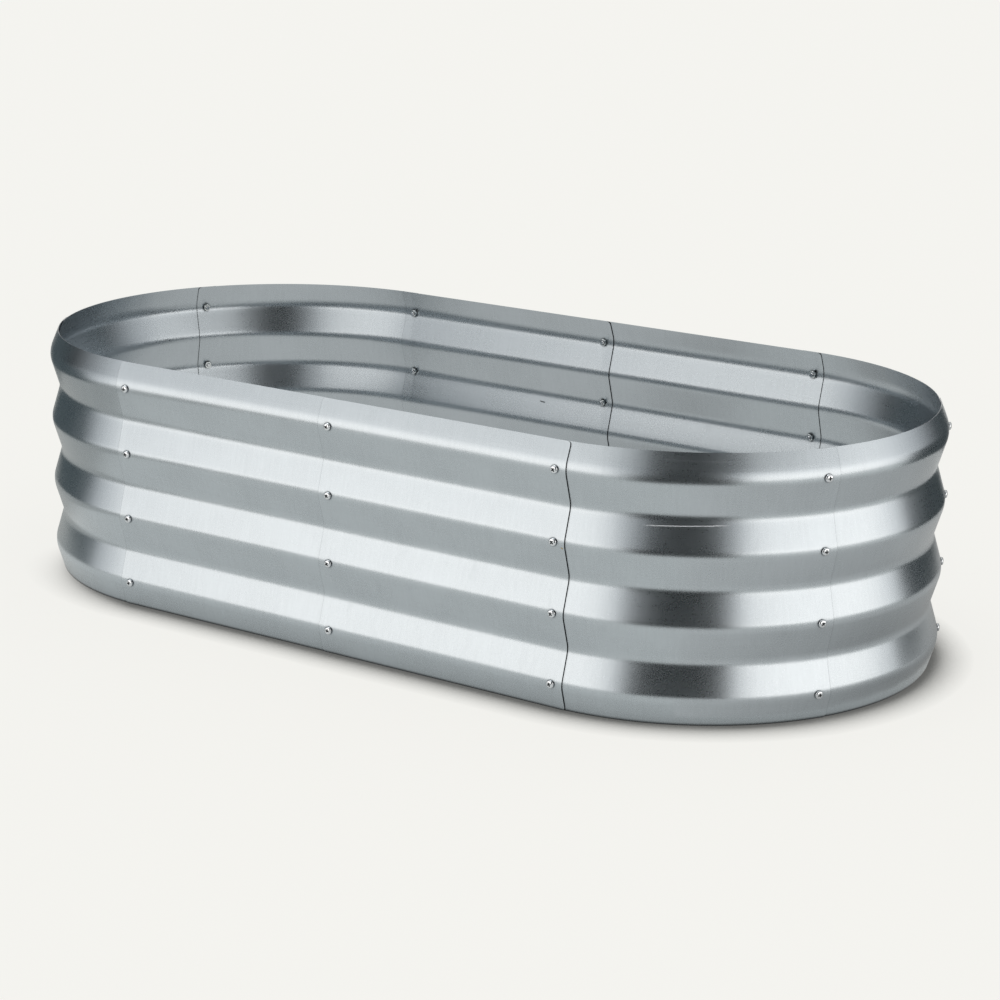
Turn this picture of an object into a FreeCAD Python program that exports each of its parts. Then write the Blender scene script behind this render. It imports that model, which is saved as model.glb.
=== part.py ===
import FreeCAD, Part
import math
import os

# Raised garden bed: an oval ring of ten corrugated sheet-steel panels, lapped and bolted.
# Millimetres. +Z is up and +X runs along the bed. The origin is the centre of the oval on
# the ground. Two straight panels make each long side, and three curved panels each end.
# To keep the faces few, each rolled bend is a flat strip tangent to its arc, and each
# curved panel is bent in flats tangent to its circle.

# Overall form
bed_height = 300.0
panel_pitch = 305.0          # from seam to seam along a straight side
crest_radius = 287.0         # of the rounded ends, at the wave crests, midway between layers
straight_panels = 2          # on each long side
end_panels = 3               # round each end

# Sheet and waves
sheet = 0.6
wave_count = 4
edge_to_crest = 30.0         # from the ground or the rim to the nearest crest
wave_depth = 10.0
wave_radius = 22.0           # of the crests and valleys, at mid-sheet
rim_bend_radius = 30.0       # from the top crest in to the rim, which stands over the valleys

# Laps
lap_gap = 0.2                # between the two sheets of a seam
edge_margin = 14.0           # from the hole column to the panel's edge
corner_radius = 4.0

# Fasteners
screw_diameter = 5.0
screw_length = 8.0           # under the head
head_diameter = 9.5
head_height = 3.3
head_rim_height = 1.4        # of the upright edge below the dome
crown_diameter = 5.2         # of the flat top of the dome
nut_width = 8.0              # across the flats
nut_height = 4.0
thread_clearance = 0.06      # between the thread and the nut, at each side
hole_clearance = 0.4         # between the screw and the sheet, at each side
seat_gap = 0.05              # left under a head or nut

# Fineness of the flats
bends_per_panel = 10         # round one curved panel, from hole column to hole column
screw_sides = 10
hole_sides = 8
corner_flats = 2

# Worked out
half_length = panel_pitch * straight_panels / 2
layer_offset = (sheet + lap_gap) / 2
wave_pitch = (bed_height - 2 * edge_to_crest) / (wave_count - 1)
crest_heights = [edge_to_crest + i * wave_pitch for i in range(wave_count)]
end_angle = 180.0 / end_panels
bend = end_angle / bends_per_panel
screw_radius = screw_diameter / 2
outer_seat = layer_offset + sheet / 2 + seat_gap

ORIGIN = FreeCAD.Vector(0, 0, 0)
UP = FreeCAD.Vector(0, 0, 1)
OUTER, INNER = 1, -1


def polar(radius, degrees, z=0.0):
    angle = math.radians(degrees)
    return FreeCAD.Vector(radius * math.cos(angle), radius * math.sin(angle), z)


def flat_face(points):
    return Part.Face(Part.makePolygon(points + points[:1]))


def solid_through(rings):
    """A solid with flat faces through closed rings that have the same number of points."""
    faces = [flat_face(rings[0]), flat_face(rings[-1])]
    for ring, after in zip(rings, rings[1:]):
        count = len(ring)
        faces += [flat_face([ring[i], ring[(i + 1) % count], after[(i + 1) % count], after[i]])
                  for i in range(count)]
    solid = Part.Solid(Part.Shell(faces))
    if solid.Volume < 0:
        solid.reverse()
    return solid


# ---- The wave profile, as points (distance out, height) ----

def flank_angle(crest, valley, radius_sum):
    """Lean of the straight flank between two arcs, from their centres and the sum of their radii.

    They bend opposite ways. A sheet's edge counts as an arc of no radius.
    """
    out, up = valley[0] - crest[0], valley[1] - crest[1]
    return math.atan2(up, out) - math.acos(radius_sum / math.hypot(out, up))


crest_centre = (-wave_radius, 0.0)
flank = flank_angle(crest_centre, (wave_radius - wave_depth, wave_pitch / 2), 2 * wave_radius)
rim_flank = flank_angle((-rim_bend_radius, 0.0), (-wave_depth, edge_to_crest), rim_bend_radius)
half_strip = wave_radius * math.tan(flank / 2)
hollow_strip = (wave_radius - sheet / 2) * math.tan(flank / 2)
nut_corner_radius = nut_width / math.sqrt(3)
nut_sink = max(0.0, nut_corner_radius - hollow_strip) * math.tan(flank)


def wave_corners(radius):
    """Corners of the middle of the sheet, from the foot up to the rim."""
    foot = radius - (edge_to_crest - half_strip) * math.tan(flank)
    corners = [(foot, 0.0)]
    for height in crest_heights[:-1]:
        valley = height + wave_pitch / 2
        corners += [(radius, height - half_strip), (radius, height + half_strip),
                    (radius - wave_depth, valley - half_strip),
                    (radius - wave_depth, valley + half_strip)]
    corners.append((radius, crest_heights[-1] - half_strip))
    corner_reach = rim_bend_radius / math.cos(rim_flank / 4)
    for turn in (rim_flank / 4, 3 * rim_flank / 4):
        corners.append((radius - rim_bend_radius + corner_reach * math.cos(turn),
                        crest_heights[-1] + corner_reach * math.sin(turn)))
    corners.append((radius - wave_depth, bed_height))
    return corners


def one_side(corners, off):
    """The corners moved square to the sheet by off, with its two ends still cut level."""
    squares = []
    for (x0, z0), (x1, z1) in zip(corners, corners[1:]):
        length = math.hypot(x1 - x0, z1 - z0)
        squares.append(((z1 - z0) / length, (x0 - x1) / length))
    side = [(corners[0][0] + off / squares[0][0], corners[0][1])]
    for (x, z), (ax, az), (bx, bz) in zip(corners[1:], squares, squares[1:]):
        spread = 1 + ax * bx + az * bz
        side.append((x + off * (ax + bx) / spread, z + off * (az + bz) / spread))
    side.append((corners[-1][0] + off / squares[-1][0], corners[-1][1]))
    return side


def wave_ring(radius):
    corners = wave_corners(radius)
    return one_side(corners, sheet / 2) + one_side(corners, -sheet / 2)[::-1]


# ---- Panels, each first drawn about +X and then turned to its place ----

def corner_cutter(end, foot):
    """What rounding takes off one corner of a sheet that ends at Y = 0.

    end is 1 at the sheet's last edge and -1 at its first; foot is 1 at the ground, -1 at the rim.
    """
    level = 0.0 if foot == 1 else bed_height
    reach = wave_depth + wave_radius
    turns = [math.radians(90 * i / corner_flats) for i in range(corner_flats + 1)]
    outline = [(0.0, 0.0)] + [(1 - math.sin(turn), 1 - math.cos(turn)) for turn in turns]
    points = [FreeCAD.Vector(-reach, -end * inset * corner_radius, level + foot * rise * corner_radius)
              for inset, rise in outline]
    return flat_face(points).extrude(FreeCAD.Vector(2 * reach, 0, 0))


def cut_corners(panel, radius, end, facing, along):
    """Rounds both corners at one end of a panel, whose last hole column faces that way."""
    for foot in (1, -1):
        cutter = corner_cutter(end, foot)
        cutter.translate(FreeCAD.Vector(radius, along, 0))
        cutter.rotate(ORIGIN, UP, facing)
        panel = panel.cut(cutter)
    return panel


def straight_panel(first, start_layer, end_layer):
    """Swings a hair about its middle, so that it can lie outside at one seam only."""
    half = panel_pitch / 2 + edge_margin
    radius = crest_radius + (start_layer + end_layer) / 2 * layer_offset
    ring = wave_ring(radius)
    panel = solid_through([[FreeCAD.Vector(x, y, z) for x, z in ring] for y in (-half, half)])
    for end in (-1, 1):
        panel = cut_corners(panel, radius, end, 0.0, end * half)
    swing = math.atan((end_layer - start_layer) * layer_offset / panel_pitch)
    panel.rotate(FreeCAD.Vector(radius, 0, 0), UP, -math.degrees(swing))
    panel.rotate(ORIGIN, UP, first["facing"])
    panel.translate(polar(panel_pitch / 2, first["facing"] + 90.0))
    panel.translate(FreeCAD.Vector(first["x"], 0, 0))
    return panel


def curved_panel(first, start_layer, end_layer):
    """Slides a hair along its chord, so that it can lie outside at one seam only."""
    radius = crest_radius + (start_layer + end_layer) / 2 * layer_offset
    ring = wave_ring(radius)
    reach = math.cos(math.radians(bend / 2))
    turns = [-end_angle / 2 + (i + 0.5) * bend for i in range(bends_per_panel)]
    rings = [[polar(x / reach, turn, z) for x, z in ring] for turn in turns]
    for end, place in ((-1, 0), (1, len(rings) + 1)):
        across = polar(end * edge_margin, end * end_angle / 2 + 90.0)
        rings.insert(place, [polar(x, end * end_angle / 2, z) + across for x, z in ring])
    panel = solid_through(rings)
    for end in (-1, 1):
        panel = cut_corners(panel, radius, end, end * end_angle / 2, end * edge_margin)
    slide = (end_layer - start_layer) / 2 * layer_offset / math.sin(math.radians(end_angle / 2))
    panel.translate(FreeCAD.Vector(0, slide, 0))
    panel.rotate(ORIGIN, UP, first["facing"] + end_angle / 2)
    panel.translate(FreeCAD.Vector(first["x"], 0, 0))
    return panel


def drill(panel, seams):
    for column in seams:
        for tool in column_of(hole_tool(), column):
            panel = panel.cut(tool)
    return panel


# ---- Fasteners, drawn about +X, with X measured out from the middle of the seam ----

def circle(sides, radius, x):
    """A ring of points round X, whose flats are at the radius."""
    corner = radius / math.cos(math.pi / sides)
    turns = [2 * math.pi * (i + 0.5) / sides for i in range(sides)]
    return [FreeCAD.Vector(x, corner * math.sin(turn), corner * math.cos(turn)) for turn in turns]


def hole_tool():
    reach = layer_offset + wave_depth
    radius = screw_radius + hole_clearance
    return solid_through([circle(hole_sides, radius, x) for x in (-reach, reach)])


def screw():
    """Pan head with a domed top, on a plain shank."""
    stations = [(outer_seat - screw_length, screw_radius), (outer_seat, screw_radius),
                (outer_seat, head_diameter / 2), (outer_seat + head_rim_height, head_diameter / 2),
                (outer_seat + head_height, crown_diameter / 2)]
    return solid_through([circle(screw_sides, radius, x) for x, radius in stations])


def nut():
    """Hexagon nut whose corners rest in the hollow of the wave."""
    face = -(outer_seat + nut_sink)
    ends = (face - nut_height, face)
    bore = screw_radius + thread_clearance
    hexagon = solid_through([circle(6, nut_width / 2, x) for x in ends])
    return hexagon.cut(solid_through([circle(screw_sides, bore, x) for x in ends]))


def column_of(piece, column):
    """One copy of a piece at each crest of a seam, facing out."""
    copies = []
    for height in crest_heights:
        copy = piece.copy()
        copy.translate(FreeCAD.Vector(crest_radius, 0, height))
        copy.rotate(ORIGIN, UP, column["facing"])
        copy.translate(FreeCAD.Vector(column["x"], 0, 0))
        copies.append(copy)
    return copies


# ---- The seams and the panels between them, counted anticlockwise from the front left ----

SEAM_NAMES = ["front_left", "front_middle", "front_right", "right_end_front", "right_end_back",
              "back_right", "back_middle", "back_left", "left_end_back", "left_end_front"]

# Each panel lies outside or inside its neighbour at its first seam and at its last. The back
# left panel goes up first, under both neighbours, and the front right one goes over both.
PANELS = [("front_left_panel", OUTER, INNER),
          ("front_right_panel", OUTER, OUTER),
          ("right_front_corner_panel", INNER, OUTER),
          ("right_end_panel", INNER, OUTER),
          ("right_back_corner_panel", INNER, OUTER),
          ("back_right_panel", INNER, OUTER),
          ("back_left_panel", INNER, INNER),
          ("left_back_corner_panel", OUTER, INNER),
          ("left_end_panel", OUTER, INNER),
          ("left_front_corner_panel", OUTER, INNER)]


def all_seams():
    """Each seam's name, the way it faces in degrees, and the X of the line it is turned about."""
    straights = [i * panel_pitch - half_length for i in range(straight_panels + 1)]
    turns = [i * end_angle for i in range(1, end_panels)]
    places = [(-90.0, x) for x in straights] + [(turn - 90.0, half_length) for turn in turns]
    places += [(facing + 180.0, -x) for facing, x in places]
    return [{"name": name, "facing": facing, "x": x}
            for name, (facing, x) in zip(SEAM_NAMES, places)]


def write(name, shape):
    shape.exportStep("parts/" + name + ".step")
    print(name, "solids", len(shape.Solids), "valid", shape.isValid(),
          "volume %.0f" % sum(solid.Volume for solid in shape.Solids))


def main():
    os.makedirs("parts", exist_ok=True)
    ring = all_seams()
    for i, (name, start_layer, end_layer) in enumerate(PANELS):
        first, last = ring[i], ring[(i + 1) % len(ring)]
        straight = first["facing"] == last["facing"]
        make = straight_panel if straight else curved_panel
        write(name, drill(make(first, start_layer, end_layer), (first, last)))
    for column in ring:
        write("screws_" + column["name"], Part.makeCompound(column_of(screw(), column)))
        write("nuts_" + column["name"], Part.makeCompound(column_of(nut(), column)))


main()
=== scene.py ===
import math
import random

import bmesh
import bpy
from mathutils import Matrix, Vector, noise


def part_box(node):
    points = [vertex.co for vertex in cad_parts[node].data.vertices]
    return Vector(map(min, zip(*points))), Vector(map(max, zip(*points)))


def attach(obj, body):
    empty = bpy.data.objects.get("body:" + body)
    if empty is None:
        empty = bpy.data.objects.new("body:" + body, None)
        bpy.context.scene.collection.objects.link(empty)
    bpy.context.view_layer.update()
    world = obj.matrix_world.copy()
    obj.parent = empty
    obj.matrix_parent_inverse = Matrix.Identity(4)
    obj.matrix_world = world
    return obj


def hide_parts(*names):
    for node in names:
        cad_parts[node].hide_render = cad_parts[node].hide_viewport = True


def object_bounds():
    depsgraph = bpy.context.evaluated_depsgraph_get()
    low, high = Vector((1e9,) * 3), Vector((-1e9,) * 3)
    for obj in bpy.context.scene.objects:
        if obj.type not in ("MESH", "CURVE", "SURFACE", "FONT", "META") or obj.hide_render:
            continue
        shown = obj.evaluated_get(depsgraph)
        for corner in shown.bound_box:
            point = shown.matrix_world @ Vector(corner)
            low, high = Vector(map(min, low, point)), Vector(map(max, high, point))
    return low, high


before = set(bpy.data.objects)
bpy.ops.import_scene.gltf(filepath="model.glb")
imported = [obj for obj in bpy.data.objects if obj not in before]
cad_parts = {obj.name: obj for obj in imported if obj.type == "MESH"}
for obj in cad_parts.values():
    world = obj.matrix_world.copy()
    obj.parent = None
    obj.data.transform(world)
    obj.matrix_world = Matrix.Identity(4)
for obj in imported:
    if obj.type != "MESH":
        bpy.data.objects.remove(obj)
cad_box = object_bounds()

# A raised garden bed: ten corrugated zinc-coated panels in an oval ring, lapped and bolted.
# Lengths are metres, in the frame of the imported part: +Z up, +X along the bed.
MM = 0.001

# ---- Sizes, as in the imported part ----

bed_height = Vector(cad_box[1]).z
crest_radius = 287 * MM
sheet = 0.6 * MM
lap_gap = 0.2 * MM
layer_offset = (sheet + lap_gap) / 2
edge_to_crest = 30 * MM
wave_count = 4
wave_pitch = (bed_height - 2 * edge_to_crest) / (wave_count - 1)
wave_depth = 10 * MM
wave_radius = 22 * MM
rim_bend_radius = 30 * MM
edge_margin = 14 * MM
corner_radius = 4 * MM
hole_radius = 2.9 * MM
end_turn = math.radians(60)
crest_heights = [edge_to_crest + i * wave_pitch for i in range(wave_count)]

screw_radius = 2.5 * MM
screw_length = 8 * MM
head_radius = 4.75 * MM
head_height = 3.3 * MM
head_rim_height = 1.1 * MM
thread_pitch = 0.8 * MM
thread_depth = 0.4 * MM
nut_width = 8 * MM
nut_height = 4 * MM
seat = layer_offset + sheet / 2 + 0.05 * MM

OUTER, INNER = 1, -1
SEAMS = ["front_left", "front_middle", "front_right", "right_end_front", "right_end_back",
         "back_right", "back_middle", "back_left", "left_end_back", "left_end_front"]
PANELS = [("front_left_panel", OUTER, INNER),
          ("front_right_panel", OUTER, OUTER),
          ("right_front_corner_panel", INNER, OUTER),
          ("right_end_panel", INNER, OUTER),
          ("right_back_corner_panel", INNER, OUTER),
          ("back_right_panel", INNER, OUTER),
          ("back_left_panel", INNER, INNER),
          ("left_back_corner_panel", OUTER, INNER),
          ("left_end_panel", OUTER, INNER),
          ("left_front_corner_panel", OUTER, INNER)]


def middle_of(node):
    low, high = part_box(node)
    return (low + high) / 2


half_length = middle_of("screws_front_right").x
panel_pitch = half_length


# ---- The wave profile ----

def lean(out, up, radius_sum):
    """Lean of the flank between two arcs that bend opposite ways, from their centres' offset."""
    return math.atan2(up, out) - math.acos(radius_sum / math.hypot(out, up))


flank = lean(2 * wave_radius - wave_depth, wave_pitch / 2, 2 * wave_radius)
rim_flank = lean(rim_bend_radius - wave_depth, edge_to_crest, rim_bend_radius)


def spread(first, last, steps):
    return [first + (last - first) * i / steps for i in range(steps + 1)]


def wave_profile():
    """Points (out, up, lean of the outward normal) up the middle of the sheet."""
    points = []

    def arc(out, up, radius, turns):
        for turn in turns:
            points.append((out + radius * math.cos(turn), up + radius * math.sin(turn), turn))

    def line_to(out, up, shares):
        start_out, start_up, turn = points[-1]
        for share in shares:
            points.append((start_out + (out - start_out) * share,
                           start_up + (up - start_up) * share, turn))

    def crest(up, radius, top):
        """A crest arc, with lines where the edge of a screw hole falls."""
        below, above = hole_radius / wave_radius, hole_radius / radius
        arc(-wave_radius, up, wave_radius, [-flank, -(flank + below) / 2, -below, -below / 2, 0])
        arc(-radius, up, radius, [above / 2, above] + spread(above, top, 4)[1:])

    even = spread(0, 1, 6)[1:-1]
    near_edge = [share * corner_radius for share in (0, 0.09, 0.3, 0.6, 1)]
    tangent = -wave_radius + wave_radius * math.cos(flank)
    foot_up = crest_heights[0] - wave_radius * math.sin(flank)
    for up in near_edge + [9 * MM, 16 * MM]:
        points.append((tangent - (foot_up - up) * math.tan(flank), up, -flank))
    for height in crest_heights[:-1]:
        crest(height, wave_radius, flank)
        valley_out, valley = wave_radius - wave_depth, height + wave_pitch / 2
        line_to(valley_out - wave_radius * math.cos(flank),
                valley - wave_radius * math.sin(flank), even)
        arc(valley_out, valley, -wave_radius, spread(flank, -flank, 8))
        line_to(tangent, height + wave_pitch - wave_radius * math.sin(flank), even)
    crest(crest_heights[-1], rim_bend_radius, rim_flank)
    climb = bed_height - points[-1][1]
    line_to(-wave_depth, bed_height, [0.25, 0.5] + [1 - near / climb for near in near_edge[::-1]])
    return points


PROFILE = wave_profile()


def hole_rows():
    """For each crest, the five rows of the profile that a screw hole spans."""
    rows = []
    for crest in crest_heights:
        middle = min(range(len(PROFILE)), key=lambda i: abs(PROFILE[i][1] - crest)
                     + abs(PROFILE[i][0]))
        rows.append(range(middle - 2, middle + 3))
    return rows


# ---- Panels ----

def mesh_of(bm, name):
    mesh = bpy.data.meshes.new(name)
    bm.to_mesh(mesh)
    bm.free()
    return mesh


def stations(half, step):
    """Lines along a panel whose hole columns are at -half and half."""
    outside = [half + x * MM for x in (1.45, 2.9, 4.6, 6.5, 8.4, 10.6, 12.6, 14.0)]
    inside = [half - x * MM for x in (0.0, 1.45, 2.9, 5.0, 8.0)]
    count = round(2 * inside[-1] / step)
    right = sorted(set(outside + inside))
    return [-x for x in reversed(right)] + spread(-inside[-1], inside[-1], count)[1:-1] + right


def corner_cut(up):
    """How far a rounded corner draws the sheet's end in at this height."""
    reach = min(up, bed_height - up)
    if reach >= corner_radius:
        return 0.0
    return corner_radius - math.sqrt(max(0.0, corner_radius ** 2 - (corner_radius - reach) ** 2))


sheet_wander = 0.22 * MM
curved_ripple, straight_ripple = 0.08 * MM, 0.015 * MM
seam_stand_off, foot_stand_off = 2.1 * MM, 1.9 * MM
outer_edge_spring, inner_edge_spring = 0.12 * MM, 0.4 * MM
spring_bend = 1.3


def unevenness(along, up, half, seed, rolled):
    """The slight waviness of thin sheet, none at the screws; rolled curves keep upright ripples."""
    place = Vector((along / (150 * MM), up / (70 * MM), seed * 7.3))
    ripple = Vector((along / (26 * MM), up / (90 * MM), seed * 3.1))
    calm = min(1.0, max(0.0, (half - abs(along)) / (60 * MM)))
    ripple_depth = curved_ripple if rolled else straight_ripple
    return (sheet_wander * noise.noise(place) + ripple_depth * noise.noise(ripple)) * calm


def spring(along, up, half, name):
    """How far an outer sheet's free edge stands off the panel under it: most at the front seam,
    and there more near the foot."""
    beyond = (abs(along) - half) / edge_margin
    if beyond <= 0:
        return 0.0
    if name == "front_right_panel" and along > 0:
        foot = max(0.0, 1 - up / (26 * MM))
        return (seam_stand_off + foot_stand_off * foot ** 1.6) * beyond ** spring_bend
    return outer_edge_spring * beyond ** 1.4


def is_straight(name):
    return "_corner_" not in name and "_end_" not in name


def half_width(name):
    """Half the run between a panel's two columns of holes."""
    return panel_pitch / 2 if is_straight(name) else crest_radius * end_turn / 2


def inward_spring(along, half):
    """How far an inner sheet's free edge stands in from the panel outside it."""
    return inner_edge_spring * (max(0.0, abs(along) - half) / edge_margin) ** spring_bend


def hole_points(lines, half):
    """The grid points within two of each screw hole's middle, by (column, row), as (across, over,
    the hole's place along, the row of its crest)."""
    points = {}
    for column_at in (-half, half):
        middle = min(range(len(lines)), key=lambda j: abs(lines[j] - column_at))
        for crest_rows in hole_rows():
            for over, row in enumerate(crest_rows, -2):
                for across in range(-2, 3):
                    points[(middle + across, row)] = (across, over, column_at, crest_rows[2])
    return points


def in_hole(holes, ring):
    """Whether a cell lies inside a screw hole's block of points."""
    blocks = [holes.get(c) for c in ring]
    return all(blocks) and len({b[2:] for b in blocks}) == 1


def block_ring(j, k):
    """The sixteen grid points round a block whose middle is in column j and row k."""
    return ([(j - 2 + i, k - 2) for i in range(5)] + [(j + 2, k - 2 + i) for i in range(1, 5)]
            + [(j + 2 - i, k + 2) for i in range(1, 5)] + [(j - 2, k + 2 - i) for i in range(1, 4)])


def placement(first, straight, radius, start_layer, end_layer):
    """What takes a panel drawn about +X to its place after its first seam, with each of its ends
    in its own layer."""
    turn = Matrix.Rotation(math.radians(first["facing"]), 4, "Z")
    if straight:
        swing = math.atan((end_layer - start_layer) * layer_offset / panel_pitch)
        pivot = Vector((radius, 0, 0))
        local = (Matrix.Translation(pivot) @ Matrix.Rotation(-swing, 4, "Z")
                 @ Matrix.Translation(-pivot))
        along = turn @ Vector((0, panel_pitch / 2, 0))
    else:
        slide = (end_layer - start_layer) / 2 * layer_offset / math.sin(end_turn / 2)
        local = Matrix.Translation((0, slide, 0))
        turn = Matrix.Rotation(math.radians(first["facing"]) + end_turn / 2, 4, "Z")
        along = Vector((0, 0, 0))
    return Matrix.Translation(along + Vector((first["x"], 0, 0))) @ turn @ local


def panel_mesh(name, first, start_layer, end_layer, seed):
    """A lapped, drilled sheet as a closed shell, drawn about +X and then turned to its place."""
    straight, half = is_straight(name), half_width(name)
    lines = stations(half, 12 * MM if straight else 7.5 * MM)
    radius = crest_radius + (start_layer + end_layer) / 2 * layer_offset
    rise = [0.0]
    for (o0, u0, _), (o1, u1, _) in zip(PROFILE, PROFILE[1:]):
        rise.append(rise[-1] + math.hypot(o1 - o0, u1 - u0))

    def place_of(along, out, up, turn, offset):
        outer_end = (end_layer if along > 0 else start_layer) == OUTER
        out += radius + unevenness(along, up, half, seed, not straight)
        out += spring(along, up, half, name) if outer_end else -inward_spring(along, half)
        if abs(along) > half:
            limit = half + (edge_margin - corner_cut(up)) * (abs(along) - half) / edge_margin
            along = math.copysign(limit, along)
        if straight:
            facing, past = 0.0, along
        else:
            facing = max(-half, min(half, along)) / crest_radius
            past = along - facing * crest_radius
        out += offset * math.cos(turn)
        return Vector((math.cos(facing) * out - math.sin(facing) * past,
                       math.sin(facing) * out + math.cos(facing) * past,
                       up + offset * math.sin(turn)))

    rows, columns = len(PROFILE), len(lines)
    holes = hole_points(lines, half)
    bm = bmesh.new()
    uv_layer = bm.loops.layers.uv.new("along_and_up")
    grid = {}
    for side, offset in ((0, sheet / 2), (1, -sheet / 2)):
        for j, along in enumerate(lines):
            for k, (out, up, turn) in enumerate(PROFILE):
                at, out_at, up_at, turn_at = along, out, up, turn
                block = holes.get((j, k))
                if block:
                    across, over, column_at, crest_row = block
                    if max(abs(across), abs(over)) < 2:
                        continue
                    angle = math.atan2(over, across)
                    at = column_at + hole_radius * math.cos(angle)
                    crest_up = PROFILE[crest_row][1]
                    bend = rim_bend_radius if crest_up == crest_heights[-1] and over > 0 else wave_radius
                    turn_at = hole_radius * math.sin(angle) / bend
                    out_at = bend * (math.cos(turn_at) - 1)
                    up_at = crest_up + bend * math.sin(turn_at)
                grid[side, j, k] = bm.verts.new(place_of(at, out_at, up_at, turn_at, offset))

    def face(corners):
        verts = [grid[c] for c in corners]
        if len(set(verts)) < 4:
            return
        made = bm.faces.new(verts)
        made.smooth = True
        for loop, (_, j, k) in zip(made.loops, corners):
            loop[uv_layer].uv = (lines[j], rise[k])

    for j in range(columns - 1):
        for k in range(rows - 1):
            ring = [(j, k), (j + 1, k), (j + 1, k + 1), (j, k + 1)]
            if all((0, *c) in grid for c in ring) and not in_hole(holes, ring):
                face([(0, *c) for c in ring])
                face([(1, *c) for c in reversed(ring)])
    border = ([(j, 0) for j in range(columns)] + [(columns - 1, k) for k in range(1, rows)]
              + [(j, rows - 1) for j in range(columns - 2, -1, -1)]
              + [(0, k) for k in range(rows - 2, 0, -1)])
    for here, after in zip(border, border[1:] + border[:1]):
        face([(1, *here), (1, *after), (0, *after), (0, *here)])
    for (j, k), (across, over, _, _) in holes.items():
        if across == over == 0:
            ring = block_ring(j, k)
            for here, after in zip(ring, ring[1:] + ring[:1]):
                face([(0, *here), (0, *after), (1, *after), (1, *here)])

    bm.transform(placement(first, straight, radius, start_layer, end_layer))
    bmesh.ops.recalc_face_normals(bm, faces=bm.faces)
    mesh = mesh_of(bm, name)
    mesh.set_sharp_from_angle(angle=math.radians(40))
    return mesh


# ---- Fasteners, drawn about +X, with X measured out from the middle of the seam ----

def ring_of(x, radii):
    count = len(radii)
    return [Vector((x, r * math.sin(2 * math.pi * i / count), r * math.cos(2 * math.pi * i / count)))
            for i, r in enumerate(radii)]


def skin(bm, rings, closed=False):
    """Quads through rings with the same number of points; the ends are capped unless closed."""
    made = [[bm.verts.new(p) for p in ring] for ring in rings]
    pairs = list(zip(made, made[1:] + made[:1] if closed else made[1:]))
    for ring, after in pairs:
        count = len(ring)
        for i in range(count):
            bm.faces.new([ring[i], ring[(i + 1) % count], after[(i + 1) % count], after[i]])
    if not closed:
        bm.faces.new(made[0])
        bm.faces.new(made[-1])
    bmesh.ops.recalc_face_normals(bm, faces=bm.faces)


def cut_away(mesh, cutter):
    """The mesh less the cutter."""
    whole = bpy.data.objects.new("whole", mesh)
    tool = bpy.data.objects.new("tool", cutter)
    for thing in (whole, tool):
        bpy.context.scene.collection.objects.link(thing)
    boolean = whole.modifiers.new("cut", "BOOLEAN")
    boolean.operation = "DIFFERENCE"
    boolean.solver = "EXACT"
    boolean.object = tool
    bpy.context.view_layer.update()
    result = bpy.data.meshes.new_from_object(
        whole.evaluated_get(bpy.context.evaluated_depsgraph_get()))
    bpy.data.objects.remove(whole)
    bpy.data.objects.remove(tool)
    return result


HEAD_SIDES = 40
THREAD_SIDES = 24
recess_depth = 1.9 * MM
recess_floor, recess_mouth = (0.85 * MM, 0.5 * MM), (3.0 * MM, 0.85 * MM)  # half length, half width
threaded_length = 3.4 * MM


def head_mesh():
    """A pan head with a domed top and a cross recess."""
    rings = [ring_of(seat, [head_radius - 0.25 * MM] * HEAD_SIDES),
             ring_of(seat + 0.12 * MM, [head_radius] * HEAD_SIDES)]
    dome = head_height - head_rim_height
    for turn in spread(0, 0.47 * math.pi, 9):
        rings.append(ring_of(seat + head_rim_height + dome * math.sin(turn),
                             [head_radius * math.cos(turn) ** 0.62] * HEAD_SIDES))
    bm = bmesh.new()
    skin(bm, rings)
    head = mesh_of(bm, "head")
    for quarter in (0, 1):
        cutter = bmesh.new()
        top, deep = seat + head_height + 0.5 * MM, seat + head_height - recess_depth
        slot_ring = []
        for x, (reach, width) in ((deep, recess_floor), (top, recess_mouth)):
            square = [Vector((x, a * reach, b * width)) for a, b in ((-1, -1), (1, -1), (1, 1), (-1, 1))]
            slot_ring.append([Matrix.Rotation(quarter * math.pi / 2, 4, "X") @ p for p in square])
        skin(cutter, slot_ring)
        head = cut_away(head, mesh_of(cutter, "cutter"))
    return head


def shank_mesh():
    """A plain shank up to the nut, then a real helical thread to a chamfered tip."""
    tip = seat - screw_length
    plain_end = tip + threaded_length
    core = screw_radius - thread_depth
    rings = [ring_of(seat + 0.1 * MM, [core] * THREAD_SIDES), ring_of(plain_end, [core] * THREAD_SIDES)]
    steps = 28
    for i in range(1, steps + 1):
        x = plain_end + (tip - plain_end) * i / steps
        taper = min(1.0, (x - tip) / (0.7 * MM)) * min(1.0, (plain_end - x) / (0.4 * MM))
        radii = []
        for j in range(THREAD_SIDES):
            phase = (x / thread_pitch + j / THREAD_SIDES) % 1.0
            ridge = 1 - abs(2 * phase - 1)
            radii.append(core - 0.25 * MM * (1 - min(1.0, (x - tip) / (0.5 * MM)))
                         + thread_depth * ridge * taper)
        rings.append(ring_of(x, radii))
    bm = bmesh.new()
    skin(bm, rings)
    return mesh_of(bm, "shank")


NUT_SIDES = 48
chamfer_depth = 0.45 * MM
countersink = 0.5 * MM


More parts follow.
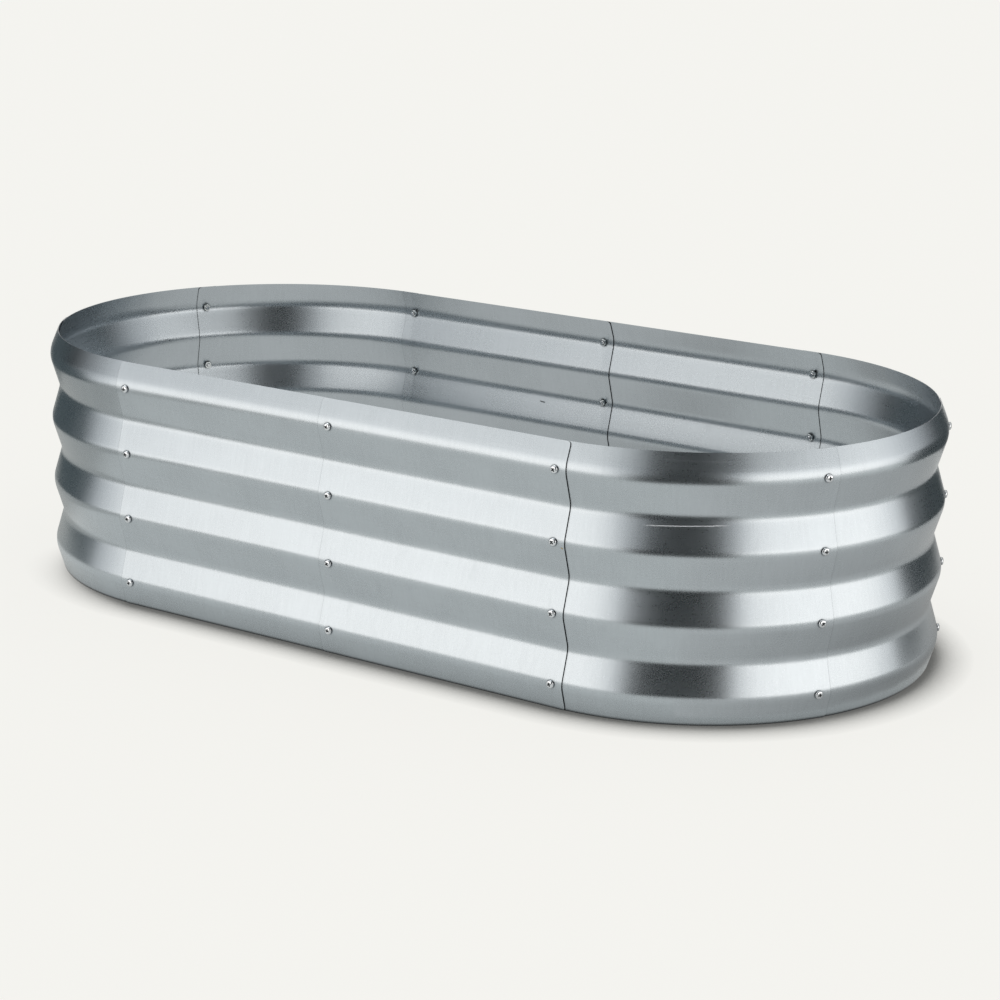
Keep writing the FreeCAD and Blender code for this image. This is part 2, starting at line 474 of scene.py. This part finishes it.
def nut_mesh(face):
    """A hexagon nut with chamfered corners and a countersunk bore."""
    def hexagon(limit):
        radii = []
        for i in range(NUT_SIDES):
            turn = (2 * math.pi * i / NUT_SIDES) % (math.pi / 3) - math.pi / 6
            radii.append(min(limit, nut_width / 2 / math.cos(turn)))
        return radii

    start, chamfer = nut_width / 2 * 0.97, math.tan(math.radians(60))
    back = face - nut_height
    bore, mouth = screw_radius - 0.25 * MM, screw_radius + 0.25 * MM
    rings = [ring_of(face, [mouth] * NUT_SIDES)]
    depths = [share * chamfer_depth for share in (0, 0.2, 0.4, 0.7, 1)]
    rings += [ring_of(face - d, hexagon(start + d * chamfer)) for d in depths]
    rings += [ring_of(back + d, hexagon(start + d * chamfer)) for d in reversed(depths)]
    rings += [ring_of(back, [mouth] * NUT_SIDES), ring_of(back + countersink, [bore] * NUT_SIDES),
              ring_of(face - countersink, [bore] * NUT_SIDES)]
    bm = bmesh.new()
    skin(bm, rings, closed=True)
    return mesh_of(bm, "nut")


greatest_tilt = math.radians(1.6)


def column(name, masters, seam, draw):
    """One copy at each crest of a seam, each turned by chance as a driver leaves it."""
    bm = bmesh.new()
    for height in crest_heights:
        wobble = Matrix.Rotation(draw.uniform(-1, 1) * greatest_tilt, 4, "Y")
        spin = Matrix.Rotation(draw.uniform(0, 2 * math.pi), 4, "X")
        place = (Matrix.Translation((seam["x"], 0, 0))
                 @ Matrix.Rotation(math.radians(seam["facing"]), 4, "Z")
                 @ Matrix.Translation((crest_radius, 0, height)) @ wobble @ spin)
        for master in masters:
            before = len(bm.verts)
            bm.from_mesh(master)
            bm.verts.ensure_lookup_table()
            bmesh.ops.transform(bm, matrix=place, verts=bm.verts[before:])
    for face in bm.faces:
        face.smooth = True
    mesh = mesh_of(bm, name)
    mesh.set_sharp_from_angle(angle=math.radians(30))
    return mesh


# ---- Materials ----

class Nodes:
    """Builds a material's node tree a node at a time."""

    def __init__(self, name):
        self.material = bpy.data.materials.new(name)
        self.material.use_nodes = True
        self.tree = self.material.node_tree
        self.tree.nodes.clear()

    def add(self, kind, settings=None, **inputs):
        node = self.tree.nodes.new(kind)
        for key, value in (settings or {}).items():
            setattr(node, key, value)
        for key, value in inputs.items():
            self.put(node.inputs[key.replace("_", " ")], value)
        return node

    def put(self, socket, value):
        if isinstance(value, bpy.types.NodeSocket):
            self.tree.links.new(value, socket)
        else:
            socket.default_value = value

    def math(self, operation, a, b=0.0):
        node = self.tree.nodes.new("ShaderNodeMath")
        node.operation = operation
        self.put(node.inputs[0], a)
        self.put(node.inputs[1], b)
        return node.outputs[0]

    def stretch(self, vector, x, y):
        node = self.tree.nodes.new("ShaderNodeMapping")
        node.vector_type = "POINT"
        self.put(node.inputs["Vector"], vector)
        node.inputs["Scale"].default_value = (x, y, 1)
        return node.outputs[0]

    def noise(self, vector, scale, detail, roughness):
        node = self.add("ShaderNodeTexNoise", Vector=vector, Scale=scale, Detail=detail,
                        Roughness=roughness)
        return node.outputs["Fac"]

    def span(self, value, low, high, to_low, to_high):
        node = self.tree.nodes.new("ShaderNodeMapRange")
        for name, number in (("Value", value), ("From Min", low), ("From Max", high),
                             ("To Min", to_low), ("To Max", to_high)):
            self.put(node.inputs[name], number)
        return node.outputs["Result"]

    def blend(self, share, first, second):
        node = self.tree.nodes.new("ShaderNodeMix")
        node.data_type = "RGBA"
        self.put(node.inputs["Factor"], share)
        self.put(node.inputs[6], first)
        self.put(node.inputs[7], second)
        return node.outputs[2]

    def finish(self, shader):
        output = self.tree.nodes.new("ShaderNodeOutputMaterial")
        self.tree.links.new(shader.outputs[0], output.inputs["Surface"])
        return self.material


def galvanised(name, tint, seed, half, marks):
    """Zinc-coated rolled sheet: upright grain, long rolling lines, cloudy zinc, specks, dark cut
    ends (bare steel, darkened further as painted shade of the gap beside them), painted shade
    wherever other parts lie close, and marks given as (along, up, slope, half length, half width,
    shade, added roughness)."""
    n = Nodes(name)
    uv = n.add("ShaderNodeUVMap", {"uv_map": "along_and_up"}).outputs[0]
    split = n.add("ShaderNodeSeparateXYZ", Vector=uv).outputs
    cut = n.span(n.math("ABSOLUTE", split["X"]), half + edge_margin - 0.15 * MM, half + edge_margin,
                 0.0, 1.0)
    moved = n.tree.nodes.new("ShaderNodeVectorMath")
    n.put(moved.inputs[0], uv)
    moved.inputs[1].default_value = (seed * 1.7, seed * 0.9, 0)
    uv = moved.outputs[0]
    grain = n.noise(n.stretch(uv, 1, 0.03), 2200.0, 3.0, 0.6)
    streak = n.noise(n.stretch(uv, 1, 0.08), 260.0, 3.0, 0.55)
    cloud = n.noise(uv, 14.0, 4.0, 0.55)
    mottle = n.noise(uv, 420.0, 2.0, 0.5)
    rolling = n.noise(n.stretch(uv, 0.02, 1), 420.0, 3.0, 0.6)
    rub = n.span(n.noise(n.stretch(uv, 1, 0.35), 30.0, 5.0, 0.7), 0.62, 0.78, 0.0, 1.0)
    speck = n.span(n.noise(uv, 900.0, 0.0, 0.5), 0.80, 0.86, 0.0, 1.0)

    bright = [c * 1.03 for c in tint] + [1]
    dull = [c * 0.955 for c in tint] + [1]
    colour = n.blend(n.span(cloud, 0.3, 0.7, 0.0, 1.0), dull, bright)
    colour = n.blend(n.math("MULTIPLY", rub, 0.30), colour, [c * 0.90 for c in tint] + [1])
    colour = n.blend(n.math("MULTIPLY", speck, 0.5), colour, [c * 0.62 for c in tint] + [1])
    # The cut ends are bare steel, darkened near black as painted shade of the gap beside them at the
    # laps
    colour = n.blend(cut, colour, [c * 0.08 for c in tint] + [1])
    # Painted shade: the colour goes nearly black wherever another part lies within 4 mm, as at the laps
    # and round the screw heads and nuts
    painted_contact_shade = n.add("ShaderNodeAmbientOcclusion", {"samples": 8}, Distance=4 * MM).outputs["AO"]
    colour = n.blend(n.span(painted_contact_shade, 0.4, 0.9, 0.0, 1.0), [c * 0.06 for c in tint] + [1], colour)
    streaked = n.span(streak, 0.35, 0.65, 0.985, 1.015)
    fine = n.math("MULTIPLY", streaked, n.span(grain, 0.3, 0.7, 0.965, 1.035))
    fine = n.math("MULTIPLY", fine, n.span(rolling, 0.3, 0.7, 0.988, 1.012))
    rough = n.math("ADD", n.span(mottle, 0.3, 0.7, -0.014, 0.014),
                   n.span(cloud, 0.3, 0.7, SHEET_ROUGHNESS - 0.015, SHEET_ROUGHNESS + 0.015))
    rough = n.math("ADD", rough, n.math("MULTIPLY", rub, 0.05))
    rough = n.math("ADD", rough, n.math("MULTIPLY", cut, 0.25))
    rough = n.math("ADD", rough, n.span(rolling, 0.3, 0.7, -0.007, 0.007))
    for at, up, slope, length, width, shade, added in marks:
        past = n.math("SUBTRACT", split["X"], at)
        over = n.math("SUBTRACT", n.math("SUBTRACT", split["Y"], up), n.math("MULTIPLY", past, slope))
        over = n.math("ADD", over, n.span(streak, 0.3, 0.7, -width / 2, width / 2))
        mark = n.math("MULTIPLY", n.span(n.math("ABSOLUTE", past), 0.7 * length, length, 1.0, 0.0),
                      n.span(n.math("ABSOLUTE", over), 0.4 * width, width, 1.0, 0.0))
        colour = n.blend(mark, colour, [*shade, 1])
        rough = n.math("ADD", rough, n.math("MULTIPLY", mark, added))
    shaded = n.tree.nodes.new("ShaderNodeVectorMath")
    shaded.operation = "SCALE"
    n.put(shaded.inputs[0], colour)
    n.put(shaded.inputs["Scale"], fine)
    height = n.math("ADD", n.math("MULTIPLY", grain, 0.6), n.math("MULTIPLY", mottle, 0.4))
    bump = n.add("ShaderNodeBump", Strength=0.10, Distance=0.00002, Height=height)
    return n.finish(n.add("ShaderNodeBsdfPrincipled", Base_Color=shaded.outputs[0], Metallic=1.0,
                          Roughness=rough, Normal=bump.outputs[0]))


def plated(name, tint, roughness):
    """Bright zinc plating with a fine tumbled texture, and painted shade in each crease and round its
    base.
    """
    n = Nodes(name)
    place = n.add("ShaderNodeTexCoord").outputs["Object"]
    cloud = n.noise(place, 900.0, 3.0, 0.6)
    fine = n.noise(place, 5200.0, 2.0, 0.5)
    colour = n.blend(cloud, [c * 0.86 for c in tint] + [1], [min(1, c * 1.08) for c in tint] + [1])
    # Painted shade: the colour goes nearly black in each recess and crease and round the base, where the
    # part meets the sheet
    painted_crease_shade = n.add("ShaderNodeAmbientOcclusion", {"samples": 8}, Distance=2.5 * MM).outputs["AO"]
    colour = n.blend(n.span(painted_crease_shade, 0.35, 0.92, 0.0, 1.0), [c * 0.1 for c in tint] + [1], colour)
    rough = n.span(fine, 0.3, 0.7, roughness - 0.05, roughness + 0.07)
    bump = n.add("ShaderNodeBump", Strength=0.15, Distance=0.00003, Height=fine)
    return n.finish(n.add("ShaderNodeBsdfPrincipled", Base_Color=colour, Metallic=1.0,
                          Roughness=rough, Normal=bump.outputs[0]))


SHEET_TINT = (0.404, 0.446, 0.479)
SHEET_ROUGHNESS = 0.28

# A thin light line and a faint line round the front corner, a rust spot by the front seam and a
# smudge inside the back
MARKS = {
    "right_front_corner_panel": [
        (-4 * MM, 228.4 * MM, 0.031, 49 * MM, 0.5 * MM, (0.85, 0.88, 0.92), 0.4),
        (3 * MM, 302.2 * MM, -0.015, 40 * MM, 0.6 * MM, (0.43, 0.47, 0.51), 0.05)],
    "front_right_panel": [(163.5 * MM, 191 * MM, 0.0, 1.6 * MM, 1.1 * MM, (0.34, 0.27, 0.14), 0.3)],
    "back_left_panel": [(-60 * MM, 184 * MM, 0.1, 4.5 * MM, 1.1 * MM, (0.10, 0.11, 0.12), 0.3)],
}


# ---- Building ----

def all_seams():
    """Each seam's name, the way it faces in degrees, and the X of the line it is turned about."""
    straight = [(-90.0, -half_length), (-90.0, 0.0), (-90.0, half_length)]
    places = straight + [(-30.0, half_length), (30.0, half_length)]
    places += [(facing + 180.0, -x) for facing, x in places]
    return [{"name": name, "facing": facing, "x": x} for name, (facing, x) in zip(SEAMS, places)]


def show(name, mesh, material, node):
    piece = bpy.data.objects.new(name, mesh)
    bpy.context.scene.collection.objects.link(piece)
    mesh.materials.append(material)
    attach(piece, "root")
    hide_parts(node)


seams = all_seams()
draw = random.Random(11)
for i, (node, start_layer, end_layer) in enumerate(PANELS):
    shade = draw.uniform(0.985, 1.015)
    zinc = galvanised("galvanised_" + node, [c * shade for c in SHEET_TINT], i + 1, half_width(node),
                      MARKS.get(node, []))
    mesh = panel_mesh(node + "_sheet", seams[i], start_layer, end_layer, i + 1)
    show(node + "_sheet", mesh, zinc, node)

screw_zinc = plated("bright_zinc_screw", (0.60, 0.63, 0.66), 0.09)
# Painted light: the nuts' zinc is made lighter than the screws' to make up for the dull light they
# reflect inside the bed
nut_zinc = plated("bright_zinc_nut", (0.88, 0.92, 0.94), 0.10)
head, shank = head_mesh(), shank_mesh()
hollow = (wave_radius - sheet / 2) * math.tan(flank / 2)
nut_sink = (nut_width / math.sqrt(3) - hollow) * math.tan(flank)
nut = nut_mesh(-(seat + nut_sink))
for seam in seams:
    node = "screws_" + seam["name"]
    show(node + "_pan_head", column(node, (head, shank), seam, draw), screw_zinc, node)
    node = "nuts_" + seam["name"]
    show(node + "_hexagon", column(node, (nut,), seam, draw), nut_zinc, node)


# ---- Studio ----

PAPER = (0.905, 0.896, 0.863)
SOFT_WHITE = (1.05, 0.993, 0.937)
COOL_WHITE = (0.965, 1.0, 1.03)
DARK = (0.72, 0.93, 1.0)


def glow(name, level, fade_in, fade_out, slant, crown):
    """Light that fades over a share of the card's width at each end, and up to a dimmer top."""
    n = Nodes(name)
    place = n.add("ShaderNodeSeparateXYZ", Vector=n.add("ShaderNodeUVMap").outputs[0]).outputs
    leaning = n.math("SUBTRACT", place["X"], n.math("MULTIPLY", place["Y"], slant))
    rising = n.span(leaning, 0.0, fade_in, 0.0, 1.0)
    falling = n.span(place["X"], 1 - fade_out, 1.0, 1.0, 0.0)
    share = n.math("MULTIPLY", n.math("MULTIPLY", rising, falling),
                   n.span(place["Y"], 0.35, 1.0, 1.0, crown))
    colour = n.blend(share, [*COOL_WHITE, 1], [*SOFT_WHITE, 1])
    return n.finish(n.add("ShaderNodeEmission", Color=colour, Strength=n.math("MULTIPLY", share, level)))


def graded(name, colour, level, dip, foot):
    """Emission that falls to the share dip of its level at the middle of the card, and to the
    further share foot at the foot of that middle."""
    n = Nodes(name)
    place = n.add("ShaderNodeSeparateXYZ", Vector=n.add("ShaderNodeUVMap").outputs[0]).outputs
    middle = n.math("ABSOLUTE", n.math("SUBTRACT", place["X"], 0.5))
    along = n.span(middle, 0.5, 0.0, level, level * dip)
    loss = n.math("MULTIPLY", n.span(middle, 0.5, 0.25, 0.28, 1.0),
                  n.span(place["Y"], 0.0, 0.35, 1 - foot, 0.0))
    return n.finish(n.add("ShaderNodeEmission", Color=[*colour, 1],
                          Strength=n.math("MULTIPLY", along, n.math("SUBTRACT", 1.0, loss))))


# The floor's drawn shadow near the bed, in metres and in shares of the paper's light
shadow_reach = 0.05
shadow_starts, shadow_full = -0.56, -0.30  # X between which the shadow grows, as the lens sees it
shadow_depth, shadow_curve = 2.4, 1.35
shadow_in_metal = 0.86
darkest = 0.1
# Left of the bed the metal sees less light, and all over it sees less of the paper's own
metal_dims, metal_plain, dimmest_in_metal = -0.66, -0.585, 0.45
glow_in_metal, glow_in_lens = 0.65, 0.88


def floor_material():
    """Pale paper that glows a little, with real shadow and a drawn one close to the bed's foot.
    The metal's floor differs from the lens's floor: it glows less, its drawn shadow is weaker but
    reaches all round, and it is dimmer past the left end."""
    n = Nodes("pale_paper")
    path = n.add("ShaderNodeLightPath")
    in_lens = path.outputs["Is Camera Ray"]
    seen = n.math("MAXIMUM", in_lens, path.outputs["Is Glossy Ray"])
    seen = n.math("MAXIMUM", seen, path.outputs["Is Transmission Ray"])
    paper = n.add("ShaderNodeBsdfDiffuse", Color=[0.875, 0.90, 0.88, 1])
    lit = n.add("ShaderNodeEmission", Color=[*PAPER, 1], Strength=1.0)
    contact = n.add("ShaderNodeAmbientOcclusion", {"samples": 8}, Distance=shadow_reach)
    place = n.add("ShaderNodeTexCoord").outputs["Object"]
    along = n.add("ShaderNodeSeparateXYZ", Vector=place).outputs["X"]
    depth = n.span(along, shadow_starts, shadow_full, 0.0, shadow_depth)
    hidden = n.math("POWER", n.math("SUBTRACT", 1.0, contact.outputs["AO"]), shadow_curve)
    dimmed = n.math("MULTIPLY", hidden, n.math("MAXIMUM", n.math("MULTIPLY", depth, in_lens),
                                               n.span(in_lens, 0.0, 1.0, shadow_in_metal, 0.0)))
    past_left = n.math("MAXIMUM", n.span(along, metal_dims, metal_plain, dimmest_in_metal, 1.0), in_lens)
    n.put(lit.inputs["Strength"],
          n.math("MULTIPLY", past_left, n.math("MAXIMUM", n.math("SUBTRACT", 1.0, dimmed), darkest)))
    even = n.add("ShaderNodeMixShader", Fac=n.span(in_lens, 0.0, 1.0, glow_in_metal, glow_in_lens))
    n.tree.links.new(paper.outputs[0], even.inputs[1])
    n.tree.links.new(lit.outputs[0], even.inputs[2])
    mixed = n.add("ShaderNodeMixShader", Fac=seen)
    n.tree.links.new(paper.outputs[0], mixed.inputs[1])
    n.tree.links.new(even.outputs[0], mixed.inputs[2])
    return n.finish(mixed)


floor_reach = 60
floor_mesh = bpy.data.meshes.new("floor")
floor_mesh.from_pydata([(x * floor_reach, y * floor_reach, 0)
                        for x, y in ((-1, -1), (1, -1), (1, 1), (-1, 1))], [], [(0, 1, 2, 3)])
floor = bpy.data.objects.new("floor", floor_mesh)
bpy.context.scene.collection.objects.link(floor)
floor_mesh.materials.append(floor_material())


def card(name, centre, foot, top, start, end, material):
    """A curved studio card between two azimuths in degrees about a point on X, seen only in
    reflections. Its foot and its top are given as (distance, height)."""
    steps = 24
    bm = bmesh.new()
    uv_layer = bm.loops.layers.uv.new("across")
    rows = []
    for distance, z in (foot, top):
        rows.append([bm.verts.new((centre + distance * math.cos(math.radians(a)),
                                   distance * math.sin(math.radians(a)), z))
                     for a in spread(start, end, steps)])
    for i in range(steps):
        made = bm.faces.new([rows[0][i], rows[0][i + 1], rows[1][i + 1], rows[1][i]])
        for loop, (column_at, row) in zip(made.loops, ((i, 0), (i + 1, 0), (i + 1, 1), (i, 1))):
            loop[uv_layer].uv = (column_at / steps, row)
    piece = bpy.data.objects.new(name, mesh_of(bm, name))
    bpy.context.scene.collection.objects.link(piece)
    piece.data.materials.append(material)
    for ray in ("camera", "diffuse", "shadow", "transmission", "volume_scatter"):
        setattr(piece, "visible_" + ray, False)


def softbox(name, distance, top, start, end, level, fade_in, fade_out, slant, crown):
    """A light standing round the bed, whose fades and slant are in degrees."""
    width = end - start
    card(name, 0, (distance, 0), (distance, top), start, end,
         glow(name, level, fade_in / width, fade_out / width, slant / width, crown))


def flag(name, centre, distance, top, start, end, level):
    """A dark card standing round the bed or round one of its ends."""
    card(name, centre, (distance, 0), (distance, top), start, end, graded(name, DARK, level, 1.0, 1.0))


# Soft lights at the front left, the front right and the back, dark between and behind them, low
# dark flags near the bed's ends, and a glowing card on the floor round the right end and the
# back, which the metal sees in place of the floor there, with a painted shadow
softbox("softbox_left", 1.9, 1.25, -172, -67, 2.12, 40, 21, 14, 0.66)
softbox("softbox_right", 2.5, 1.35, -42, 64, 2.25, 12, 44, 0, 0.58)
softbox("softbox_back", 2.5, 1.4, 83, 165, 0.92, 22, 30, 0, 0.7)
flag("studio_dark", 0, 2.7, 1.7, 0, 360, 0.1)
flag("gap_front", 0, 2.65, 4.0, -76, -30, 0.02)
flag("gap_left", 0, 2.65, 3.0, 150, 192, 0.1)
flag("flag_front", half_length, 0.85, 0.3, -82.8, -43.5, 0.02)
flag("flag_right", half_length, 0.85, 0.3, 34, 84, 0.06)
flag("flag_left", -half_length, 0.85, 0.3, 167, 216, 0.12)
# Painted shadow: the card glows at the paper's level but dims towards the middle of its sweep and
# towards the bed, standing in for the floor's shadow as the metal sees it
card("painted_shadow_floor_card", half_length, (0.29, 0.002), (0.8, 0.002), -62, 190,
     graded("painted_shadow_floor_card", PAPER, 0.97, 0.66, 0.5))

lamp = bpy.data.lights.new("overhead", "SUN")
lamp.energy = 0.5
lamp.angle = math.radians(30)
overhead = bpy.data.objects.new("overhead", lamp)
overhead.rotation_euler = (math.radians(8), math.radians(-10), 0)
bpy.context.scene.collection.objects.link(overhead)

world = bpy.data.worlds.new("studio")
world.use_nodes = True
world.node_tree.nodes["Background"].inputs["Color"].default_value = (*PAPER, 1)
world.node_tree.nodes["Background"].inputs["Strength"].default_value = 1.0
bpy.context.scene.world = world
bpy.context.scene.view_settings.view_transform = "Standard"

# The camera, fitted to the screws, the rim and the foot in the photograph
camera_place = Vector((1.7784, -2.5211, 0.9760))
camera_yaw, camera_pitch, camera_roll = 34.634, 15.477, 0.721
focal_share = 2.622

yaw, pitch, roll = (math.radians(a) for a in (camera_yaw, camera_pitch, camera_roll))
ahead = Vector((-math.sin(yaw) * math.cos(pitch), math.cos(yaw) * math.cos(pitch), -math.sin(pitch)))
level_right = Vector((math.cos(yaw), math.sin(yaw), 0))
level_up = level_right.cross(ahead)
right = math.cos(roll) * level_right + math.sin(roll) * level_up
up = -math.sin(roll) * level_right + math.cos(roll) * level_up
lens = bpy.data.cameras.new("camera")
lens.sensor_fit = "HORIZONTAL"
lens.sensor_width = 36
lens.lens = lens.sensor_width * focal_share
camera = bpy.data.objects.new("camera", lens)
camera.matrix_world = Matrix.Translation(camera_place) @ Matrix(
    [(right[i], up[i], -ahead[i], 0) for i in range(3)] + [(0, 0, 0, 1)])
bpy.context.scene.collection.objects.link(camera)
bpy.context.scene.camera = camera

bpy.context.view_layer.update()
